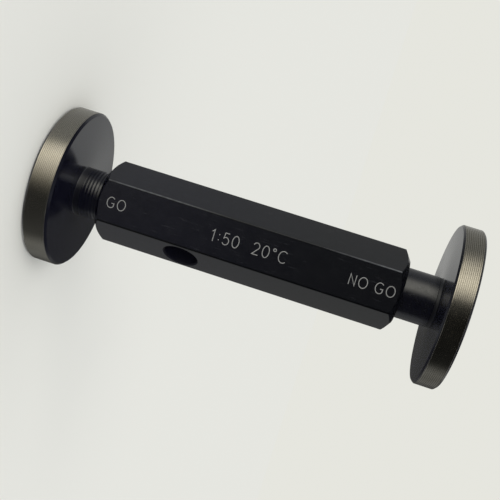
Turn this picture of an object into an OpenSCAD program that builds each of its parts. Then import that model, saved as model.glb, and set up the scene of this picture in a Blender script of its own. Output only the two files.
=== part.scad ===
// Double-ended thread plug gauge: a go member and a no-go member, each a turned piece with a
// threaded ring, jammed by their taper shanks into the ends of a hexagon handle.
// The gauge stands on the outer face of its go ring, with +Z along its axis. The fine threads
// are left smooth here: each ring is as large as the crests of its thread.

/* [Threaded rings] */
// Major diameter of the go ring
go_d = 47; // [30:0.5:80]
// How much smaller than the go ring the no-go ring is, on diameter
no_go_under = 0.08; // [0.02:0.01:0.3]
// Width of the go ring
go_w = 7.5; // [5:0.1:15]
// Width of the no-go ring
no_go_w = 6.4; // [4:0.1:15]
// Chamfer on both edges of the go ring
go_edge = 0.7; // [0.3:0.05:1.5]
// Chamfer on both edges of the no-go ring
no_go_edge = 0.6; // [0.3:0.05:1.5]

/* [Necks and shanks] */
// Diameter of both necks, and of the tapers where they enter the handle
neck_d = 14.6; // [10:0.1:16]
// Length of the neck that shows between the go ring and the handle
go_neck_l = 8; // [4:0.1:20]
// Length of the neck that shows between the no-go ring and the handle
no_go_neck_l = 10.4; // [4:0.1:20]
// Fillet where each neck meets its ring
root_r = 0.8; // [0.3:0.1:2]
// Taper of the shanks: one in this many, on diameter
taper = 50; // [20:5:100]
// Radial gap left between each taper shank and its socket
taper_gap = 0.01; // [0:0.005:0.05]
// Length of the no-go shank inside the handle
no_go_shank_l = 22; // [12:0.5:30]
// How far the end of the go shank stands into the drift hole
drift_reach = 0.2; // [0:0.05:1]
// Chamfer at the end of each shank
shank_edge = 0.5; // [0.2:0.1:1]

/* [Handle] */
// Width of the hexagon across its flats
hex_af = 21; // [19:0.5:32]
// Length of the handle
handle_l = 89.9; // [80:0.1:140]
// How much is turned off each corner of the hexagon, measured along the radius
corner_break = 0.12; // [0.05:0.01:0.4]
// How far in from the flats the end faces start
end_inset = 1.3; // [0.5:0.1:2]
// Angle of the end chamfers, from the end face
end_angle = 35; // [20:5:60]
// How far each socket runs on past the end of its shank
socket_run = 3; // [1:0.5:6]
// Chamfer at the mouth of each socket
mouth_edge = 0.3; // [0.1:0.1:0.6]
// Diameter of the pilot bore that joins the two sockets
pilot_d = 11; // [6:0.5:12]

/* [Drift hole] */
// Diameter of the cross hole that takes the drift
drift_d = 10; // [6:0.5:12]
// Distance of the cross hole from the go end of the handle
drift_z = 27; // [20:0.5:40]
// Direction that the cross hole faces, one of the six flats
drift_angle = -30; // [-150, -90, -30, 30, 90, 150]
// Chamfer at both mouths of the cross hole
drift_edge = 0.4; // [0.1:0.1:0.8]

/* [Centre holes] */
// Diameter of each centre hole at its mouth
centre_d = 5; // [3:0.5:8]
// Diameter of the drilled tip of each centre hole
centre_tip_d = 2; // [1:0.5:2.5]
// Depth of the drilled tip below the cone of each centre hole
centre_tip_l = 2; // [1:0.5:4]
// Angle between opposite sides of each centre hole's cone
centre_angle = 60; // [60, 75, 90]

/* [Hidden] */
$fn = 96;
over = 1; // how far the cutting shapes run past the faces that they cut
go_shank_l = drift_z - drift_d / 2 + drift_reach;
no_go_d = go_d - no_go_under;
handle_z = go_w + go_neck_l;
overall_l = handle_z + handle_l + no_go_neck_l + no_go_w;
hex_d = hex_af / cos(30); // across the sharp corners
turned_r = hex_d / 2 - corner_break;
end_r = hex_af / 2 - end_inset;
end_l = (turned_r - end_r) * tan(end_angle);

// Radius of the taper at a depth below the end face of the handle.
function taper_r(depth) = neck_d / 2 - depth / (2 * taper);

// Centre hole, its mouth at z = 0 and going up.
module centre_hole() {
    cone_l = (centre_d - centre_tip_d) / 2 / tan(centre_angle / 2);
    mouth_r = centre_d / 2 + over * tan(centre_angle / 2);
    translate([0, 0, -over])
        cylinder(h = cone_l + over, r1 = mouth_r, d2 = centre_tip_d);
    cylinder(h = cone_l + centre_tip_l, d = centre_tip_d);
}

// One member, standing on its ring: ring, neck and taper shank turned from one bar.
module member(ring_d, ring_w, edge, neck_l, shank_l) {
    ring_r = ring_d / 2;
    shank_z = ring_w + neck_l;
    top_z = shank_z + shank_l;
    difference() {
        rotate_extrude() {
            polygon([
                [0, 0],
                [ring_r - edge, 0],
                [ring_r, edge],
                [ring_r, ring_w - edge],
                [ring_r - edge, ring_w],
                [neck_d / 2, ring_w],
                [neck_d / 2, shank_z],
                [taper_r(shank_l - shank_edge), top_z - shank_edge],
                [taper_r(shank_l) - shank_edge, top_z],
                [0, top_z],
            ]);
            translate([neck_d / 2, ring_w])
                root_fillet();
        }
        centre_hole();
        translate([0, 0, top_z])
            mirror([0, 0, 1])
                centre_hole();
    }
}

// Section of the fillet at the root of a neck.
module root_fillet() {
    difference() {
        square(root_r);
        translate([root_r, root_r])
            circle(r = root_r);
    }
}

// Hexagon bar with its corners turned down and both ends chamfered.
module turned_hexagon() {
    intersection() {
        linear_extrude(height = handle_l)
            circle(d = hex_d, $fn = 6);
        rotate_extrude()
            polygon([
                [0, 0],
                [end_r, 0],
                [turned_r, end_l],
                [turned_r, handle_l - end_l],
                [end_r, handle_l],
                [0, handle_l],
            ]);
    }
}

// Taper socket for a shank, its mouth at z = 0 and going up.
module socket(shank_l) {
    depth = shank_l + socket_run;
    translate([0, 0, -over]) {
        cylinder(h = depth + over, r1 = taper_r(-over) + taper_gap, r2 = taper_r(depth) + taper_gap);
        cylinder(h = mouth_edge + over, r1 = taper_r(0) + mouth_edge + over, r2 = taper_r(0));
    }
}

// Cross hole for the drift, along +X and centred on the origin.
module drift_hole() {
    rotate([0, 90, 0]) {
        cylinder(h = hex_d + 2 * over, d = drift_d, center = true);
        for (side = [0, 1])
            mirror([0, 0, side])
                translate([0, 0, hex_af / 2 - drift_edge])
                    cylinder(h = drift_edge + over, d1 = drift_d, d2 = drift_d + 2 * (drift_edge + over));
    }
}

module handle() {
    color([0.15, 0.15, 0.16])
        translate([0, 0, handle_z])
            difference() {
                turned_hexagon();
                socket(go_shank_l);
                translate([0, 0, handle_l])
                    mirror([0, 0, 1])
                        socket(no_go_shank_l);
                translate([0, 0, -over])
                    cylinder(h = handle_l + 2 * over, d = pilot_d);
                translate([0, 0, drift_z])
                    rotate([0, 0, drift_angle])
                        drift_hole();
            }
}

module go_member() {
    color([0.5, 0.48, 0.42])
        member(go_d, go_w, go_edge, go_neck_l, go_shank_l);
}

module no_go_member() {
    color([0.5, 0.48, 0.42])
        translate([0, 0, overall_l])
            mirror([0, 0, 1])
                member(no_go_d, no_go_w, no_go_edge, no_go_neck_l, no_go_shank_l);
}

go_member();
handle();
no_go_member();
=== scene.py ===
import math
import bpy
import bmesh
from mathutils import Matrix, Vector


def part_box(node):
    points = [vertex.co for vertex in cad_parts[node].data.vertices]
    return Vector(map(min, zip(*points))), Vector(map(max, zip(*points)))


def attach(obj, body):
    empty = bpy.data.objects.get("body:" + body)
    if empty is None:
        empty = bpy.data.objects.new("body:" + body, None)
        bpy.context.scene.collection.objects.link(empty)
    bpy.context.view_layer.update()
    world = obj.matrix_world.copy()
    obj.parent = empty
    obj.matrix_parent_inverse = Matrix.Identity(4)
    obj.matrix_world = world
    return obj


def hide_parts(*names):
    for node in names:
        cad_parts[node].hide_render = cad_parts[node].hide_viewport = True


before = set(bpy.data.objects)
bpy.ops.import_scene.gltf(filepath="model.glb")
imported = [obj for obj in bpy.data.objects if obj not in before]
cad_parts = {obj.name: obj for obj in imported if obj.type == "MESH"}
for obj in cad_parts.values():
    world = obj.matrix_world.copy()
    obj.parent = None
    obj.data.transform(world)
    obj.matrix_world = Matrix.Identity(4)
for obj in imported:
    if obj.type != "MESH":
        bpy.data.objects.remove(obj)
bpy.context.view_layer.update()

mm = 0.001
sameSpot = 1e-7           # points closer than this are one
sliver = 0.0005 * mm      # edges shorter than this are dissolved after a cut
goFoot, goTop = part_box("go_member")
handleFoot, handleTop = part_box("handle")
noGoFoot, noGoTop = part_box("no_go_member")
print("frame loaded")


# basic shapes, used by every piece

def roundedLine(corners, steps=5):
    # corners are (r, z) or (r, z, fillet): each one with a fillet is replaced by an arc
    line = []
    for i, corner in enumerate(corners):
        here = Vector(corner[:2])
        if len(corner) == 2:
            line.append(here)
            continue
        before = (Vector(corners[i - 1][:2]) - here).normalized()
        after = (Vector(corners[(i + 1) % len(corners)][:2]) - here).normalized()
        half = before.angle(after) / 2
        reach = corner[2] / math.tan(half)
        centre = here + (before + after).normalized() * corner[2] / math.sin(half)
        first, last = here + before * reach - centre, here + after * reach - centre
        start = math.atan2(first.y, first.x)
        turn = (math.atan2(last.y, last.x) - start + math.pi) % (2 * math.pi) - math.pi
        for k in range(steps + 1):
            a = start + turn * k / steps
            line.append(centre + Vector((math.cos(a), math.sin(a))) * corner[2])
    return [tuple(p) for p in line]


def stitchRings(bm, rings, closed=False):
    # joins rings of vertices with faces; a ring of one vertex closes the shape on the axis
    pairs = list(zip(rings, rings[1:]))
    if closed:
        pairs.append((rings[-1], rings[0]))
    for low, high in pairs:
        columns = max(len(low), len(high))
        for i in range(columns):
            j = (i + 1) % columns
            corners = [low[i % len(low)], low[j % len(low)]]
            corners += [high[j % len(high)], high[i % len(high)]]
            face = [v for k, v in enumerate(corners) if v not in corners[:k]]
            bm.faces.new(face)


def finishedMesh(bm, name):
    bmesh.ops.recalc_face_normals(bm, faces=bm.faces)
    mesh = bpy.data.meshes.new(name)
    bm.to_mesh(mesh)
    bm.free()
    return mesh


def turnedMesh(name, outline, columns=192, closed=False):
    # turns an outline of (r, z) about the z axis; an open one starts and ends on the axis
    bm = bmesh.new()
    rings = []
    for r, z in outline:
        if r < sameSpot:
            rings.append([bm.verts.new((0, 0, z))])
            continue
        angles = [2 * math.pi * i / columns for i in range(columns)]
        rings.append([bm.verts.new((r * math.cos(a), r * math.sin(a), z)) for a in angles])
    stitchRings(bm, rings, closed)
    return finishedMesh(bm, name)


def cutMesh(mesh, tool, operation="DIFFERENCE"):
    # boolean of two closed meshes, as a new mesh
    pair = [bpy.data.objects.new(m.name, m) for m in (mesh, tool)]
    for o in pair:
        bpy.context.scene.collection.objects.link(o)
    step = pair[0].modifiers.new("cut", "BOOLEAN")
    step.object = pair[1]
    step.operation = operation
    step.solver = "EXACT"
    step.material_mode = "TRANSFER"
    cut = pair[0].evaluated_get(bpy.context.evaluated_depsgraph_get())
    done = bpy.data.meshes.new_from_object(cut)
    for o in pair:
        bpy.data.objects.remove(o)
    bm = bmesh.new()
    bm.from_mesh(done)
    bmesh.ops.dissolve_degenerate(bm, dist=sliver, edges=bm.edges)
    bm.to_mesh(done)
    bm.free()
    return done


def addPiece(name, mesh, node, sharpAngle=30.0):
    # puts a finished mesh in the scene in place of its CAD node
    mesh.polygons.foreach_set("use_smooth", [True] * len(mesh.polygons))
    mesh.set_sharp_from_angle(angle=math.radians(sharpAngle))
    piece = bpy.data.objects.new(name, mesh)
    bpy.context.scene.collection.objects.link(piece)
    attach(piece, "root")
    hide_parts(node)
    print(name, len(mesh.polygons), "faces")
    return piece


# finishes

def startMaterial(name, **values):
    material = bpy.data.materials.new(name)
    material.use_nodes = True
    tree = material.node_tree
    shader = tree.nodes["Principled BSDF"]
    for socketName, value in values.items():
        shader.inputs[socketName.replace("_", " ")].default_value = value
    return material, tree, shader


def addNode(tree, kind, inputs=(), **settings):
    # a shader node with its settings, and each input set to a value or joined to a socket
    node = tree.nodes.new("ShaderNode" + kind)
    for key, value in settings.items():
        setattr(node, key, value)
    for key, value in dict(inputs).items():
        if isinstance(value, bpy.types.NodeSocket):
            tree.links.new(value, node.inputs[key])
        else:
            node.inputs[key].default_value = value
    return node


def mathOf(tree, operation, *values):
    return addNode(tree, "Math", enumerate(values), operation=operation).outputs[0]


def vectorOf(tree, operation, inputs, output="Vector"):
    return addNode(tree, "VectorMath", inputs, operation=operation).outputs[output]


def stretched(tree, place, stretch, turn=(0, 0, 0)):
    # a place for the noise, so that its grain runs one way
    inputs = {"Vector": place, "Rotation": turn, "Scale": stretch}
    return addNode(tree, "Mapping", inputs).outputs["Vector"]


def grain(tree, place, scale, detail=3.0, roughness=0.5):
    # soft noise from 0 to 1
    inputs = {"Vector": place, "Scale": scale, "Detail": detail, "Roughness": roughness}
    return addNode(tree, "TexNoise", inputs).outputs["Fac"]


def spread(tree, value, low, high, toLow, toHigh):
    inputs = {"Value": value, "From Min": low, "From Max": high, "To Min": toLow, "To Max": toHigh}
    return addNode(tree, "MapRange", inputs).outputs["Result"]


def blendColours(tree, amount, first, second):
    mix = addNode(tree, "Mix", {0: amount, 6: first, 7: second}, data_type="RGBA")
    return mix.outputs[2]


def axisPlace(tree):
    # place on the piece, its distance from the axis and its height, all in millimetres
    place = addNode(tree, "TexCoord").outputs["Object"]
    inMm = vectorOf(tree, "SCALE", {0: place, 3: 1 / mm})
    flat = vectorOf(tree, "MULTIPLY", {0: inMm, 1: (1, 1, 0)})
    radius = vectorOf(tree, "LENGTH", {0: flat}, "Value")
    return inMm, radius, addNode(tree, "SeparateXYZ", {0: inMm}).outputs["Z"]


def offMiddle(tree, z, start, end):
    # how far a height is from the middle of a stretch, and half of that stretch
    away = mathOf(tree, "SUBTRACT", z, (start + end) / 2)
    return mathOf(tree, "ABSOLUTE", away), (end - start) / 2


def addBump(tree, shader, height, strength, distance):
    bump = addNode(tree, "Bump", {"Height": height, "Strength": strength, "Distance": distance})
    tree.links.new(bump.outputs["Normal"], shader.inputs["Normal"])


blackTints = dict(
    deep=(0.0043, 0.0045, 0.0099, 1), cloudy=(0.0068, 0.0070, 0.0130, 1),
    neutral=(0.0052, 0.0055, 0.0066, 1), scuffed=(0.022, 0.023, 0.027, 1),
    # corner is painted shade: a near-black line along every corner of the bar
    corner=(0.0012, 0.0013, 0.0024, 1), bare=(0.36, 0.38, 0.42, 1),
    bore=(0.0075, 0.0068, 0.0200, 1), sheen=(0.90, 0.95, 1.0, 1),
    cloudRange=(0.35, 0.7),
)


def startBlack(name, ior):
    return startMaterial(name, IOR=ior, Specular_Tint=blackTints["sheen"])


def blackBase(tree, clouds):
    # deep blue-black with cloudier patches
    cloudy = spread(tree, clouds, *blackTints["cloudRange"], 0.0, 1.0)
    return blendColours(tree, cloudy, blackTints["deep"], blackTints["cloudy"])


def cloudyDulling(tree, clouds, toolMarks, finish):
    # roughness that follows cloudy patches and tool marks
    clouds = mathOf(tree, "MULTIPLY", clouds, finish["cloudShare"])
    toolMarks = mathOf(tree, "MULTIPLY", toolMarks, 1 - finish["cloudShare"])
    both = mathOf(tree, "ADD", clouds, toolMarks)
    return spread(tree, both, *finish["dullRange"], finish["smooth"], finish["dull"])


# in the dictionaries of finishes, lengths are in millimetres and scales are per millimetre
barFinish = dict(
    ior=1.5, smooth=0.17, dull=0.24, dullRange=(0.35, 0.65), cloudShare=0.5, cloudScale=0.35,
    lineScale=6.0, lineStretch=(1.0, 1.0, 0.04), lineStrength=0.3, lineDepth=0.004,
    scuffScale=1.7, scuffTurn=(0.2, 0.35, 0.5), scuffStretch=(1.6, 1.6, 0.16),
    scuffRange=(0.62, 0.74), scuffing=0.6,
    fadeFromFoot=20.0, fadeFromTop=25.0, fade=0.8,
    # the first pair places painted shade along every turned corner, the second places the wear
    shadeInside=(0.25, 0.12), wornInside=(0.14, 0.05),    # how far inside the turned corners
    wornSide=(-0.87, -0.5, 0.0), wornSideRange=(4.0, 9.0),
    footWear=0.27, footWearEnds=(20.0, 38.0), middleWear=0.03, topWear=0.40, topWearLength=25.0,
    patchScale=0.5, patchRange=(0.3, 0.6), leastPatch=0.5,
)


def blackOxideBar(name, landRadius, barStart, barEnd):
    # oil-blacked bar: lengthwise grinding lines, cloudy patches, faint scuffs, a rubbed corner and
    # painted shade along the corners
    bar = barFinish
    material, tree, shader = startBlack(name, bar["ior"])
    place, radius, z = axisPlace(tree)

    def insideCorners(fromInside, toInside):
        return spread(tree, radius, landRadius - fromInside, landRadius - toInside, 0.0, 1.0)

    lines = grain(tree, stretched(tree, place, bar["lineStretch"]), bar["lineScale"], detail=4.0)
    clouds = grain(tree, place, bar["cloudScale"], detail=4.0, roughness=0.6)
    slant = stretched(tree, place, bar["scuffStretch"], bar["scuffTurn"])
    scuffs = grain(tree, slant, bar["scuffScale"])
    scuffs = spread(tree, scuffs, *bar["scuffRange"], 0.0, bar["scuffing"])
    fadeStart, fadeEnd = barStart + bar["fadeFromFoot"], barEnd - bar["fadeFromTop"]
    faded = spread(tree, z, fadeStart, fadeEnd, 0.0, bar["fade"])
    colour = blendColours(tree, faded, blackBase(tree, clouds), blackTints["neutral"])
    colour = blendColours(tree, scuffs, colour, blackTints["scuffed"])
    # painted shade: a near-black line just inside every turned corner
    colour = blendColours(tree, insideCorners(*bar["shadeInside"]), colour, blackTints["corner"])
    wornSide = vectorOf(tree, "DOT_PRODUCT", {0: place, 1: bar["wornSide"]}, "Value")
    wornSide = spread(tree, wornSide, *bar["wornSideRange"], 0.0, 1.0)
    footStart, footEnd = [barStart + length for length in bar["footWearEnds"]]
    footWear = spread(tree, z, footStart, footEnd, bar["footWear"], bar["middleWear"])
    topWear = spread(tree, z, barEnd - bar["topWearLength"], barEnd, 0.0, bar["topWear"])
    patches = grain(tree, place, bar["patchScale"])
    patches = spread(tree, patches, *bar["patchRange"], bar["leastPatch"], 1.0)
    wear = mathOf(tree, "MULTIPLY", mathOf(tree, "ADD", footWear, topWear), patches)
    wornCorner = mathOf(tree, "MULTIPLY", insideCorners(*bar["wornInside"]), wornSide)
    rubbed = mathOf(tree, "MULTIPLY", wornCorner, wear)
    colour = blendColours(tree, rubbed, colour, blackTints["bare"])
    tree.links.new(colour, shader.inputs["Base Color"])
    tree.links.new(rubbed, shader.inputs["Metallic"])
    tree.links.new(cloudyDulling(tree, clouds, lines, bar), shader.inputs["Roughness"])
    addBump(tree, shader, lines, bar["lineStrength"], bar["lineDepth"] * mm)
    return material


boreFinish = dict(
    ior=1.4, smooth=0.45, dull=0.6, filmScale=0.8, filmRange=(0.3, 0.7),
    markScale=4.0, markStrength=0.4, markDepth=0.01,
)


def blackOxideBore(name):
    # inside of a drilled hole: dull and oily, roughened by the drill
    bore = boreFinish
    material, tree, shader = startBlack(name, bore["ior"])
    place = axisPlace(tree)[0]
    film = grain(tree, place, bore["filmScale"])
    colour = blendColours(tree, film, blackTints["bore"], blackTints["deep"])
    tree.links.new(colour, shader.inputs["Base Color"])
    dulling = spread(tree, film, *bore["filmRange"], bore["smooth"], bore["dull"])
    tree.links.new(dulling, shader.inputs["Roughness"])
    drillMarks = grain(tree, place, bore["markScale"], detail=2.0)
    addBump(tree, shader, drillMarks, bore["markStrength"], bore["markDepth"] * mm)
    return material


turnedFinish = dict(
    ior=1.64, smooth=0.09, dull=0.16, dullRange=(0.35, 0.65), cloudShare=0.4, cloudScale=0.3,
    ringScale=5.5, ringStrength=0.25, ringDepth=0.003,
    smudgeScale=0.8, smudgeRange=(0.42, 0.66), leastSmudge=0.02, neckEdge=(7.6, 7.8),
    reliefEdge=(0.02, 0.12),    # how far inside the relief's ends it turns dull
)


def blackOxideTurned(name, reliefStart, reliefEnd, neckSmudges, reliefDull):
    # oil-blacked turning: fine rings left by the tool, a smudged neck and a duller relief
    turned = turnedFinish
    material, tree, shader = startBlack(name, turned["ior"])
    place, radius, z = axisPlace(tree)
    ringPlace = addNode(tree, "CombineXYZ", {"X": radius, "Y": z}).outputs["Vector"]
    rings = grain(tree, ringPlace, turned["ringScale"])
    clouds = grain(tree, place, turned["cloudScale"], detail=4.0, roughness=0.6)
    tree.links.new(blackBase(tree, clouds), shader.inputs["Base Color"])
    smudges = grain(tree, place, turned["smudgeScale"])
    smudges = spread(tree, smudges, *turned["smudgeRange"], turned["leastSmudge"], neckSmudges)
    onNeck = spread(tree, radius, *turned["neckEdge"], 1.0, 0.0)
    dulling = cloudyDulling(tree, clouds, rings, turned)
    dulling = mathOf(tree, "ADD", dulling, mathOf(tree, "MULTIPLY", onNeck, smudges))
    away, half = offMiddle(tree, z, reliefStart, reliefEnd)
    outer, inner = [half - edge for edge in turned["reliefEdge"]]
    inRelief = spread(tree, away, outer, inner, 0.0, 1.0)
    dulling = spread(tree, inRelief, 0.0, 1.0, dulling, reliefDull)
    tree.links.new(dulling, shader.inputs["Roughness"])
    addBump(tree, shader, rings, turned["ringStrength"], turned["ringDepth"] * mm)
    return material


threadFinish = dict(
    bright=(0.39, 0.38, 0.345, 1), stained=(0.36, 0.35, 0.31, 1),
    # the colour after black is painted shade for the thread's roots
    black=(0.0060, 0.0064, 0.0100, 1), rootShade=(0.20, 0.19, 0.165, 1),
    stainScale=0.14, stainRange=(0.3, 0.7),
    smooth=0.17, dull=0.21, handlingScale=0.2, handlingRange=(0.3, 0.7),
    rootShadeDepths=(0.7, 0.2),    # shares of the thread's depth between which the painted shade in the roots ends
    groundEdge=0.06,
)


def groundSteel(name, brightStart, brightEnd, crestRadius, depth, rootShade):
    # bare ground thread, faintly stained, with painted shade in its roots, still black on its
    # chamfers
    thread = threadFinish
    material, tree, shader = startMaterial(name)
    place, radius, z = axisPlace(tree)
    stains = grain(tree, place, thread["stainScale"], detail=1.0)
    stains = spread(tree, stains, *thread["stainRange"], 0.0, 1.0)
    steel = blendColours(tree, stains, thread["bright"], thread["stained"])
    # painted shade: the roots of the thread are darkened
    rootShadeFoot, rootShadeTop = [crestRadius - share * depth for share in thread["rootShadeDepths"]]
    rootShaded = spread(tree, radius, rootShadeFoot, rootShadeTop, rootShade, 0.0)
    steel = blendColours(tree, rootShaded, steel, thread["rootShade"])
    away, half = offMiddle(tree, z, brightStart, brightEnd)
    ground = spread(tree, away, half, half + thread["groundEdge"], 1.0, 0.0)
    colour = blendColours(tree, ground, thread["black"], steel)
    tree.links.new(colour, shader.inputs["Base Color"])
    tree.links.new(ground, shader.inputs["Metallic"])
    handling = grain(tree, place, thread["handlingScale"], detail=1.0)
    handling = spread(tree, handling, *thread["handlingRange"], thread["smooth"], thread["dull"])
    tree.links.new(handling, shader.inputs["Roughness"])
    return material


etchFinish = dict(
    dull=0.75, dark=(0.19, 0.19, 0.19, 1), light=(0.34, 0.34, 0.335, 1),
    frostScale=9.0, frostRange=(0.35, 0.65),
)


def paleEtch(name):
    # frosted marking
    material, tree, shader = startMaterial(name, Roughness=etchFinish["dull"])
    frost = grain(tree, axisPlace(tree)[0], etchFinish["frostScale"], detail=2.0)
    frost = spread(tree, frost, *etchFinish["frostRange"], 0.0, 1.0)
    colour = blendColours(tree, frost, etchFinish["dark"], etchFinish["light"])
    tree.links.new(colour, shader.inputs["Base Color"])
    return material


etchedMark = paleEtch("etchedMark")
print("finishes made")


# members: a blackened turned body and a bright threaded band round its ring

# the last figure on each pitch line is the amount of painted shade in the thread's roots
goSizes = dict(
    width=7.5 * mm, edge=0.7 * mm, neck=7.3 * mm, fillet=0.35 * mm, shank=22.2 * mm,
    pitch=0.5 * mm, crest=0.25 * mm, root=0.15 * mm, rootShade=0.0,
    relief=1.9 * mm, reliefDepth=0.06 * mm, grooves=5, groovePitch=1.0 * mm, grooveDepth=0.03 * mm,
    smudges=0.03, reliefDull=0.35,
)
noGoSizes = dict(
    width=6.4 * mm, edge=0.6 * mm, neck=7.4 * mm, fillet=0.35 * mm, shank=22.0 * mm,
    pitch=0.5 * mm, crest=0.17 * mm, root=0.11 * mm, rootShade=0.15,
    relief=1.1 * mm, reliefDepth=0.12 * mm, grooves=0,
    smudges=0.16, reliefDull=0.45,
)
centreSizes = dict(
    mouth=2.5 * mm, tip=1.0 * mm, tipLength=2.0 * mm, endLength=0.5 * mm, halfAngle=30.0,
)
shankSizes = dict(radius=7.3 * mm, taper=50, chamfer=0.5 * mm, step=0.1 * mm)
bandSizes = dict(underRoot=0.05 * mm, thickness=0.3 * mm, flankAngle=30.0, columns=360)
softEdge = 0.03 * mm


def threadDepth(sizes):
    flank = (sizes["pitch"] - sizes["crest"] - sizes["root"]) / 2
    return flank / math.tan(math.radians(bandSizes["flankAngle"]))


def bandCore(radius, sizes):
    # just under the thread's root: where the band meets the body, and how far in from the faces
    core = radius - threadDepth(sizes) - bandSizes["underRoot"]
    return core, sizes["edge"] - (radius - core)


def centreHole(depthSign, z):
    # outline of a centre hole from its mouth to the axis
    mouth, tip = centreSizes["mouth"], centreSizes["tip"]
    cone = (mouth - tip) / math.tan(math.radians(centreSizes["halfAngle"]))
    end = cone + centreSizes["tipLength"]
    return [
        (mouth, z, softEdge),
        (tip, z + depthSign * cone),
        (tip, z + depthSign * end),
        (0, z + depthSign * (end + centreSizes["endLength"])),
    ]


def bodyOutline(radius, sizes, total):
    # (r, z) of a member standing on its ring, from the axis at the bottom to the axis at the top
    core, lip = bandCore(radius, sizes)
    width, neck = sizes["width"], sizes["neck"]
    low = neck - sizes["reliefDepth"]
    shankFoot = total - sizes["shank"]
    shankEnd = shankSizes["radius"] - sizes["shank"] / (2 * shankSizes["taper"])
    chamfer, grooveSteps = shankSizes["chamfer"], 8
    corners = list(reversed(centreHole(1, 0)))
    corners += [(radius - sizes["edge"], 0, softEdge), (core, lip), (core, width - lip)]
    corners += [(radius - sizes["edge"], width, softEdge), (low, width, sizes["fillet"])]
    z = width + sizes["relief"]
    corners += [(low, z - sizes["reliefDepth"]), (neck, z)]
    for k in range(sizes["grooves"]):
        for i in range(1, grooveSteps + 1):
            t = i / grooveSteps
            dip = sizes["grooveDepth"] * (0.5 - 0.5 * math.cos(2 * math.pi * t))
            corners.append((neck - dip, z + sizes["groovePitch"] * t))
        z += sizes["groovePitch"]
    corners += [(neck, shankFoot - shankSizes["step"]), (shankSizes["radius"], shankFoot)]
    corners += [(shankEnd, total - chamfer), (shankEnd - chamfer, total)]
    corners += centreHole(-1, total)
    return roundedLine(corners)


def bandMesh(name, radius, sizes):
    # band with a right-hand thread outside, cut across by the ring's two chamfers
    pitch, crest, columns = sizes["pitch"], sizes["crest"], bandSizes["columns"]
    core, lip = bandCore(radius, sizes)
    flank = (pitch - crest - sizes["root"]) / 2
    depth = threadDepth(sizes)
    form = [(0, 0), (crest, 0), (crest + flank / 2, depth / 2), (crest + flank, depth)]
    form += [(pitch - flank, depth), (pitch - flank / 2, depth / 2)]
    low, high = lip, sizes["width"] - lip
    inner = core - bandSizes["thickness"]
    bm = bmesh.new()
    grid = []
    for i in range(columns + 1):
        a = 2 * math.pi * i / columns
        line = [(inner, low)]
        for k in range(-1, math.ceil(high / pitch) + 1):
            for s, dip in form:
                z = min(max(pitch * (k + i / columns) + s, low), high)
                onChamfer = core + min(z - low, high - z)
                line.append((min(radius - dip, onChamfer), z))
        line.append((inner, high))
        grid.append([bm.verts.new((r * math.cos(a), r * math.sin(a), z)) for r, z in line])
    for left, right in zip(grid, grid[1:]):
        for k in range(len(left)):
            m = (k + 1) % len(left)
            bm.faces.new([left[k], right[k], right[m], left[m]])
    bmesh.ops.remove_doubles(bm, verts=bm.verts, dist=sameSpot)
    return finishedMesh(bm, name)


def addMember(node, bandName, sizes, foot, top, upsideDown=False):
    radius = (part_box(node)[1].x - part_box(node)[0].x) / 2
    place = Matrix.Translation((0, 0, foot))
    if upsideDown:
        place = Matrix.Translation((0, 0, top)) @ Matrix.Rotation(math.pi, 4, "X")

    def heights(first, second):
        return sorted((place @ Vector((0, 0, z))).z / mm for z in (first, second))

    body = turnedMesh(node, bodyOutline(radius, sizes, top - foot))
    relief = heights(sizes["width"], sizes["width"] + sizes["relief"])
    black = blackOxideTurned(node + "Black", *relief, sizes["smudges"], sizes["reliefDull"])
    body.materials.append(black)
    band = bandMesh(bandName, radius, sizes)
    bright = heights(sizes["edge"], sizes["width"] - sizes["edge"])
    depth = threadDepth(sizes) / mm
    steel = groundSteel(bandName + "Steel", *bright, radius / mm, depth, sizes["rootShade"])
    band.materials.append(steel)
    for mesh in (body, band):
        mesh.transform(place)
    addPiece(node + "_body", body, node)
    addPiece(bandName, band, node)


addMember("go_member", "go_thread", goSizes, goFoot.z, goTop.z)
addMember("no_go_member", "no_go_thread", noGoSizes, noGoFoot.z, noGoTop.z, upsideDown=True)


# handle: a hexagon bar with turned corners, bored, cross-drilled and marked

barSizes = dict(
    halfFlats=10.5 * mm, turned=12.1 * mm, endRadius=9.2 * mm, endAngle=35.0,
    endRound=0.15 * mm, socket=7.31 * mm, mouth=0.3 * mm, socketLength=25.2 * mm, pilot=5.5 * mm,
    soften=0.04 * mm, rows=34, perHalfSide=32, crowding=1.6,
)
driftSizes = dict(
    radius=5.0 * mm, fromEnd=27.0 * mm, edge=0.4 * mm, edgeRound=0.15 * mm, angle=-30.0,
    cutterReach=14 * mm,
)


def barOutline(length):
    # closed (r, z) loop: up the outside, down through the sockets and the pilot bore
    edge, turned, rows = barSizes["endRadius"], barSizes["turned"], barSizes["rows"]
    slope = math.tan(math.radians(barSizes["endAngle"]))
    endLength = (turned - edge) * slope
    deep = barSizes["socket"] - barSizes["socketLength"] / (2 * shankSizes["taper"])
    mouth = barSizes["socket"] + barSizes["mouth"]
    onSlope = (turned, endLength)
    rounded = roundedLine([(mouth, 0), (edge, 0, barSizes["endRound"]), onSlope], steps=4)
    bottom = [(mouth, 0)] + rounded[1:-1]
    start = bottom[-1]
    for i in range(1, rows + 1):
        t = i / rows
        bottom.append((start[0] + (turned - start[0]) * t, start[1] + (endLength - start[1]) * t))
    inside = [
        (barSizes["socket"], length - barSizes["mouth"]),
        (deep, length - barSizes["socketLength"]),
        (barSizes["pilot"], length - barSizes["socketLength"]),
        (barSizes["pilot"], barSizes["socketLength"]),
        (deep, barSizes["socketLength"]),
        (barSizes["socket"], barSizes["mouth"]),
    ]
    topHalf = [(r, length - z) for r, z in reversed(bottom)]
    return bottom + topHalf + inside


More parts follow.
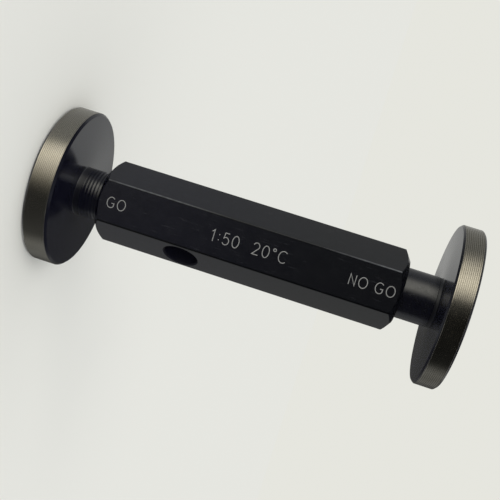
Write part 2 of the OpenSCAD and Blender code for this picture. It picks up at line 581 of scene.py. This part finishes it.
def softMin(a, b, blend):
    # the smaller of two, with a smooth change from one to the other
    overlap = max(blend - abs(a - b), 0) / blend
    return min(a, b) - overlap * overlap * blend / 4


def barAngles():
    # angles round the bar, closer together near the six corners
    count, crowding = barSizes["perHalfSide"], barSizes["crowding"]
    angles = []
    for corner in range(0, 360, 60):
        offsets = [30 * (i / count) ** crowding for i in range(count)]
        angles += [corner + o for o in offsets]
        angles += [corner + 60 - o for o in [30] + offsets[:0:-1]]
    return angles


def barMesh(length):
    bm = bmesh.new()
    rings = []
    angles = barAngles()
    for radius, z in barOutline(length):
        ring = []
        for degrees in angles:
            a = math.radians(degrees)
            offFlat = math.radians((degrees % 60) - 30)
            r = radius
            if radius > barSizes["halfFlats"] - barSizes["soften"]:
                r = softMin(radius, barSizes["halfFlats"] / math.cos(offFlat), barSizes["soften"])
            ring.append(bm.verts.new((r * math.cos(a), r * math.sin(a), z)))
        rings.append(ring)
    stitchRings(bm, rings, closed=True)
    return finishedMesh(bm, "handle")


def driftMesh():
    # cutter for the cross hole, with its chamfers, along x
    reach, face = driftSizes["cutterReach"], barSizes["halfFlats"]
    r, edge = driftSizes["radius"], driftSizes["edge"]
    flare = r + edge + reach - face
    half = [(flare, -reach), (r, -face + edge, driftSizes["edgeRound"])]
    line = roundedLine([(0, -reach)] + half + [(r, 0)], steps=4)
    line += [(x, -z) for x, z in reversed(line[:-1])]
    mesh = turnedMesh("driftCutter", line, columns=128)
    mesh.transform(Matrix.Rotation(math.radians(90), 4, "Y"))
    return mesh


markSizes = dict(
    stroke=0.25 * mm, depth=0.06 * mm, fill=0.035 * mm, fillGap=0.01 * mm,
    spacing=0.3,        # between letters, as a share of their height
    ringGap=0.1,        # a stroke whose ends are closer than this share of its width is a ring
    cornerLimit=0.4,    # keeps sharp bends from growing spikes
)
markWords = [
    dict(words="GO", z=21.6 * mm, height=3.0 * mm),
    dict(words="1:50  20°C", z=61.2 * mm, height=3.3 * mm),
    dict(words="NO GO", z=96.8 * mm, height=3.0 * mm),
]


def bow(x, y, rx, ry, start, end, steps=20):
    # points along an oval arc, angles in degrees
    angles = [math.radians(start + (end - start) * i / steps) for i in range(steps + 1)]
    return [(x + rx * math.cos(a), y + ry * math.sin(a)) for a in angles]


# pen strokes of each letter on a height of 1, as (width, strokes)
# a stroke that ends where it starts is a ring
letters = {
    "0": (0.56, [bow(0.28, 0.5, 0.28, 0.5, 0, 360, 32)]),
    "O": (0.78, [bow(0.39, 0.5, 0.39, 0.5, 0, 360, 36)]),
    "1": (0.34, [[(0.02, 0.8), (0.22, 1.0), (0.22, 0.0)]]),
    "2": (0.56, [bow(0.28, 0.71, 0.26, 0.29, 165, -28) + [(0.02, 0.0), (0.56, 0.0)]]),
    "5": (0.54, [
        [(0.48, 1.0), (0.11, 1.0), (0.06, 0.53)] + bow(0.25, 0.32, 0.28, 0.32, 112, -150),
    ]),
    ":": (0.12, [[(0.06, 0.2), (0.06, 0.3)], [(0.06, 0.65), (0.06, 0.75)]]),
    "°": (0.26, [bow(0.13, 0.87, 0.12, 0.12, 0, 360, 20)]),
    "C": (0.66, [bow(0.39, 0.5, 0.39, 0.5, 48, 312, 28)]),
    "G": (0.74, [bow(0.39, 0.5, 0.39, 0.5, 46, 318, 28) + [(0.70, 0.44), (0.44, 0.44)]]),
    "N": (0.62, [[(0.03, 0.0), (0.03, 1.0), (0.59, 0.0), (0.59, 1.0)]]),
    " ": (0.18, []),
}


def strokeMesh(path, width, low, high):
    # a flat bar of even width along a path, between two heights
    points = [Vector(p) for p in path]
    ring = (points[0] - points[-1]).length < width * markSizes["ringGap"]
    if ring:
        points.pop()
    bm = bmesh.new()
    rings = []
    for i, point in enumerate(points):
        before = points[i - 1] if i or ring else point * 2 - points[1]
        inside = ring or i + 1 < len(points)
        after = points[(i + 1) % len(points)] if inside else point * 2 - points[i - 1]
        a, b = (point - before).normalized(), (after - point).normalized()
        side = Vector((-(a + b).y, (a + b).x)).normalized()
        side *= width / 2 / max(math.cos(a.angle(b) / 2), markSizes["cornerLimit"])
        left, right = point + side, point - side
        corners = [(left, high), (right, high), (right, low), (left, low)]
        rings.append([bm.verts.new((*p, z)) for p, z in corners])
    stitchRings(bm, rings, ring)
    if not ring:
        bm.faces.new(rings[0])
        bm.faces.new(reversed(rings[-1]))
    return finishedMesh(bm, "stroke")


def markMeshes(low, high):
    # every stroke of every mark, on the marked flat, reading up the bar, tops towards -x
    meshes = []
    for mark in markWords:
        height = mark["height"]
        steps = [letters[c][0] + markSizes["spacing"] for c in mark["words"]]
        length = sum(steps) - markSizes["spacing"]
        x = -length / 2
        flat = -barSizes["halfFlats"]
        ontoFlat = Matrix(((0, -1, 0, 0), (0, 0, -1, flat), (1, 0, 0, mark["z"]), (0, 0, 0, 1)))
        for c in mark["words"]:
            for stroke in letters[c][1]:
                path = [((x + u) * height, (v - 0.5) * height) for u, v in stroke]
                mesh = strokeMesh(path, markSizes["stroke"], low, high)
                mesh.transform(ontoFlat)
                meshes.append(mesh)
            x += letters[c][0] + markSizes["spacing"]
    return meshes


def joinedMesh(name, meshes):
    bm = bmesh.new()
    for mesh in meshes:
        bm.from_mesh(mesh)
    bmesh.ops.remove_doubles(bm, verts=bm.verts, dist=sameSpot)
    return finishedMesh(bm, name)


def addHandle():
    length = handleTop.z - handleFoot.z
    bar = barMesh(length)
    drift = driftMesh()
    turn = Matrix.Rotation(math.radians(driftSizes["angle"]), 4, "Z")
    drift.transform(Matrix.Translation((0, 0, driftSizes["fromEnd"])) @ turn)
    ends = (handleFoot.z / mm, handleTop.z / mm)
    bar.materials.append(blackOxideBar("blackBar", barSizes["turned"] / mm, *ends))
    drift.materials.append(blackOxideBore("blackBore"))
    bar = cutMesh(bar, drift)
    bar.transform(Matrix.Translation((0, 0, handleFoot.z)))
    recess = joinedMesh("recess", markMeshes(-markSizes["depth"], markSizes["depth"]))
    recess.materials.append(etchedMark)
    bar = cutMesh(bar, recess)
    addPiece("handle_bar", bar, "handle")
    foot = -markSizes["depth"] - markSizes["fillGap"]
    fill = joinedMesh("marks", markMeshes(foot, foot + markSizes["fill"]))
    fill.materials.append(etchedMark)
    addPiece("handle_marks", fill, "handle")


addHandle()


# stage, light and camera

stageSizes = dict(
    floorRadius=30.0, floorColour=(0.807, 0.814, 0.773, 1), backColour=(0.79, 0.79, 0.735, 1),
)
cameraSpot = dict(
    place=(-0.016703, -0.224916, 0.085450), aim=(0.001709, 0.0, 0.060738),
    roll=107.773, lens=56.088, clipStart=0.01, clipEnd=100.0,
)
keyLamp = dict(azimuth=-131.0, elevation=38.0, strength=0.5, angle=32.0, colour=(1.0, 0.96, 0.90))

# how light the studio is round the object, by compass angle from +x, as shiny surfaces see it
surround = [
    (-180, 0.33), (-160, 0.31), (-140, 0.29), (-112, 0.15), (-98, 0.06), (-85, 0.045),
    (-45, 0.047), (-28, 0.062), (-10, 0.095), (4, 0.26), (14, 0.34), (26, 0.265), (45, 0.265),
    (56, 0.12), (84, 0.068), (89, 0.50), (110, 0.42), (150, 0.345), (180, 0.32),
]
surroundTint = (1.0, 1.0, 0.965)

# light from far above and below, beyond the tops of the walls
# the walls are lower behind (+y) than in front
overhead = dict(
    level=0.22, tilt=0.42, brightSide=(0.7, 0.7, 0.0),
    frontTop=0.52, backTop=0.46, turnOver=0.3, edge=0.09,
)
window = dict(
    azimuth=-134.0, elevation=-1.0, lean=40.0, level=1.84, colour=(1.0, 0.92, 0.76),
    halfWide=20.0, halfTall=32.5, soft=9.0, softTall=22.5,
)

# panels that dim the walls behind them: one in front, one above, one below
shades = [
    dict(
        azimuth=-45.0, elevation=22.0, lean=0.0, level=0.4,
        halfWide=41.0, halfTall=24.0, soft=5.0, softTall=6.0,
    ),
    dict(
        azimuth=10.0, elevation=50.0, lean=0.0, level=0.12,
        halfWide=32.0, halfTall=22.0, soft=6.0, softTall=6.0,
    ),
    dict(
        azimuth=25.0, elevation=-46.0, lean=0.0, level=0.15,
        halfWide=30.0, halfTall=18.0, soft=6.0, softTall=6.0,
    ),
]
fillLevel = 0.88


def direction(azimuth, elevation):
    a, e = math.radians(azimuth), math.radians(elevation)
    return Vector((math.cos(a) * math.cos(e), math.sin(a) * math.cos(e), math.sin(e)))


def makeCamera(spot):
    data = bpy.data.cameras.new("camera")
    data.lens = spot["lens"]
    data.clip_start, data.clip_end = spot["clipStart"], spot["clipEnd"]
    camera = bpy.data.objects.new("camera", data)
    bpy.context.scene.collection.objects.link(camera)
    place, aim = Vector(spot["place"]), Vector(spot["aim"])
    level = (aim - place).to_track_quat("-Z", "Y").to_matrix().to_4x4()
    rolled = level @ Matrix.Rotation(math.radians(spot["roll"]), 4, "Z")
    camera.matrix_world = Matrix.Translation(place) @ rolled
    bpy.context.scene.camera = camera


def makeFloor():
    mesh = turnedMesh("floor", [(0, 0), (stageSizes["floorRadius"], 0)], columns=64)
    floor = bpy.data.objects.new("floor", mesh)
    bpy.context.scene.collection.objects.link(floor)
    floor.visible_glossy = False    # shiny surfaces see the surround instead
    matt = dict(Roughness=1.0, Specular_IOR_Level=0.0)
    material = startMaterial("paleFloor", Base_Color=stageSizes["floorColour"], **matt)[0]
    mesh.materials.append(material)


def makeKey(lamp):
    data = bpy.data.lights.new("key", "SUN")
    data.energy = lamp["strength"]
    data.angle = math.radians(lamp["angle"])
    data.color = lamp["colour"]
    key = bpy.data.objects.new("key", data)
    bpy.context.scene.collection.objects.link(key)
    key.rotation_mode = "QUATERNION"
    key.rotation_quaternion = direction(lamp["azimuth"], lamp["elevation"]).to_track_quat("Z", "Y")


def panelMask(tree, sky, panel):
    # 1 inside a soft-edged rectangle of the surround, 0 outside
    facing = direction(panel["azimuth"], panel["elevation"])
    side = Vector((0, 0, 1)).cross(facing).normalized()
    lean = Matrix.Rotation(math.radians(panel["lean"]), 3, facing)
    ahead = vectorOf(tree, "DOT_PRODUCT", {0: sky, 1: facing}, "Value")
    mask = mathOf(tree, "GREATER_THAN", ahead, 0.0)
    across = (lean @ side, panel["halfWide"], panel["soft"])
    upward = (lean @ facing.cross(side), panel["halfTall"], panel["softTall"])
    for axis, half, soft in (across, upward):
        off = vectorOf(tree, "DOT_PRODUCT", {0: sky, 1: axis}, "Value")
        outer, inner = [math.sin(math.radians(half + k * soft)) for k in (1, -1)]
        inside = spread(tree, mathOf(tree, "ABSOLUTE", off), outer, inner, 0.0, 1.0)
        mask = mathOf(tree, "MULTIPLY", mask, inside)
    return mask


def makeWorld():
    world = bpy.data.worlds.new("studio")
    bpy.context.scene.world = world
    world.use_nodes = True
    tree = world.node_tree
    sky = addNode(tree, "TexCoord").outputs["Generated"]
    way = addNode(tree, "SeparateXYZ", {0: sky})
    compass = mathOf(tree, "ARCTAN2", way.outputs[1], way.outputs[0])
    turn = spread(tree, compass, -math.pi, math.pi, 0.0, 1.0)
    ramp = addNode(tree, "ValToRGB", {"Fac": turn})
    stops = ramp.color_ramp.elements    # starts with one at each end
    for angle, level in surround[1:-1]:
        stops.new((angle + 180) / 360)
    for stop, (angle, level) in zip(stops, surround):
        stop.color = (*[level * c for c in surroundTint], 1)
    turnOver, tops = overhead["turnOver"], (overhead["frontTop"], overhead["backTop"])
    wallTop = spread(tree, way.outputs[1], -turnOver, turnOver, *tops)
    steep = mathOf(tree, "SUBTRACT", mathOf(tree, "ABSOLUTE", way.outputs[2]), wallTop)
    steep = spread(tree, steep, 0.0, overhead["edge"], 0.0, 1.0)
    side = vectorOf(tree, "DOT_PRODUCT", {0: sky, 1: overhead["brightSide"]}, "Value")
    level = mathOf(tree, "MULTIPLY_ADD", side, overhead["tilt"], overhead["level"])
    level = mathOf(tree, "MAXIMUM", level, 0.0)
    above = vectorOf(tree, "SCALE", {0: surroundTint, 3: level})
    walls = blendColours(tree, steep, ramp.outputs["Color"], above)
    for shade in shades:
        dimming = spread(tree, panelMask(tree, sky, shade), 0.0, 1.0, 1.0, shade["level"])
        walls = vectorOf(tree, "SCALE", {0: walls, 3: dimming})
    glow = mathOf(tree, "MULTIPLY", panelMask(tree, sky, window), window["level"])
    pane = vectorOf(tree, "SCALE", {0: window["colour"], 3: glow})
    seen = vectorOf(tree, "ADD", {0: walls, 1: pane})
    rays = addNode(tree, "LightPath").outputs
    shiny = mathOf(tree, "MAXIMUM", rays["Is Glossy Ray"], rays["Is Transmission Ray"])
    lit = (fillLevel, fillLevel, fillLevel, 1)
    colour = blendColours(tree, shiny, lit, seen)
    colour = blendColours(tree, rays["Is Camera Ray"], colour, stageSizes["backColour"])
    tree.links.new(colour, tree.nodes["Background"].inputs["Color"])
    world.cycles.sampling_method = "NONE"


makeCamera(cameraSpot)
makeFloor()
makeKey(keyLamp)
makeWorld()
bpy.context.scene.view_settings.view_transform = "Standard"
print("stage set")
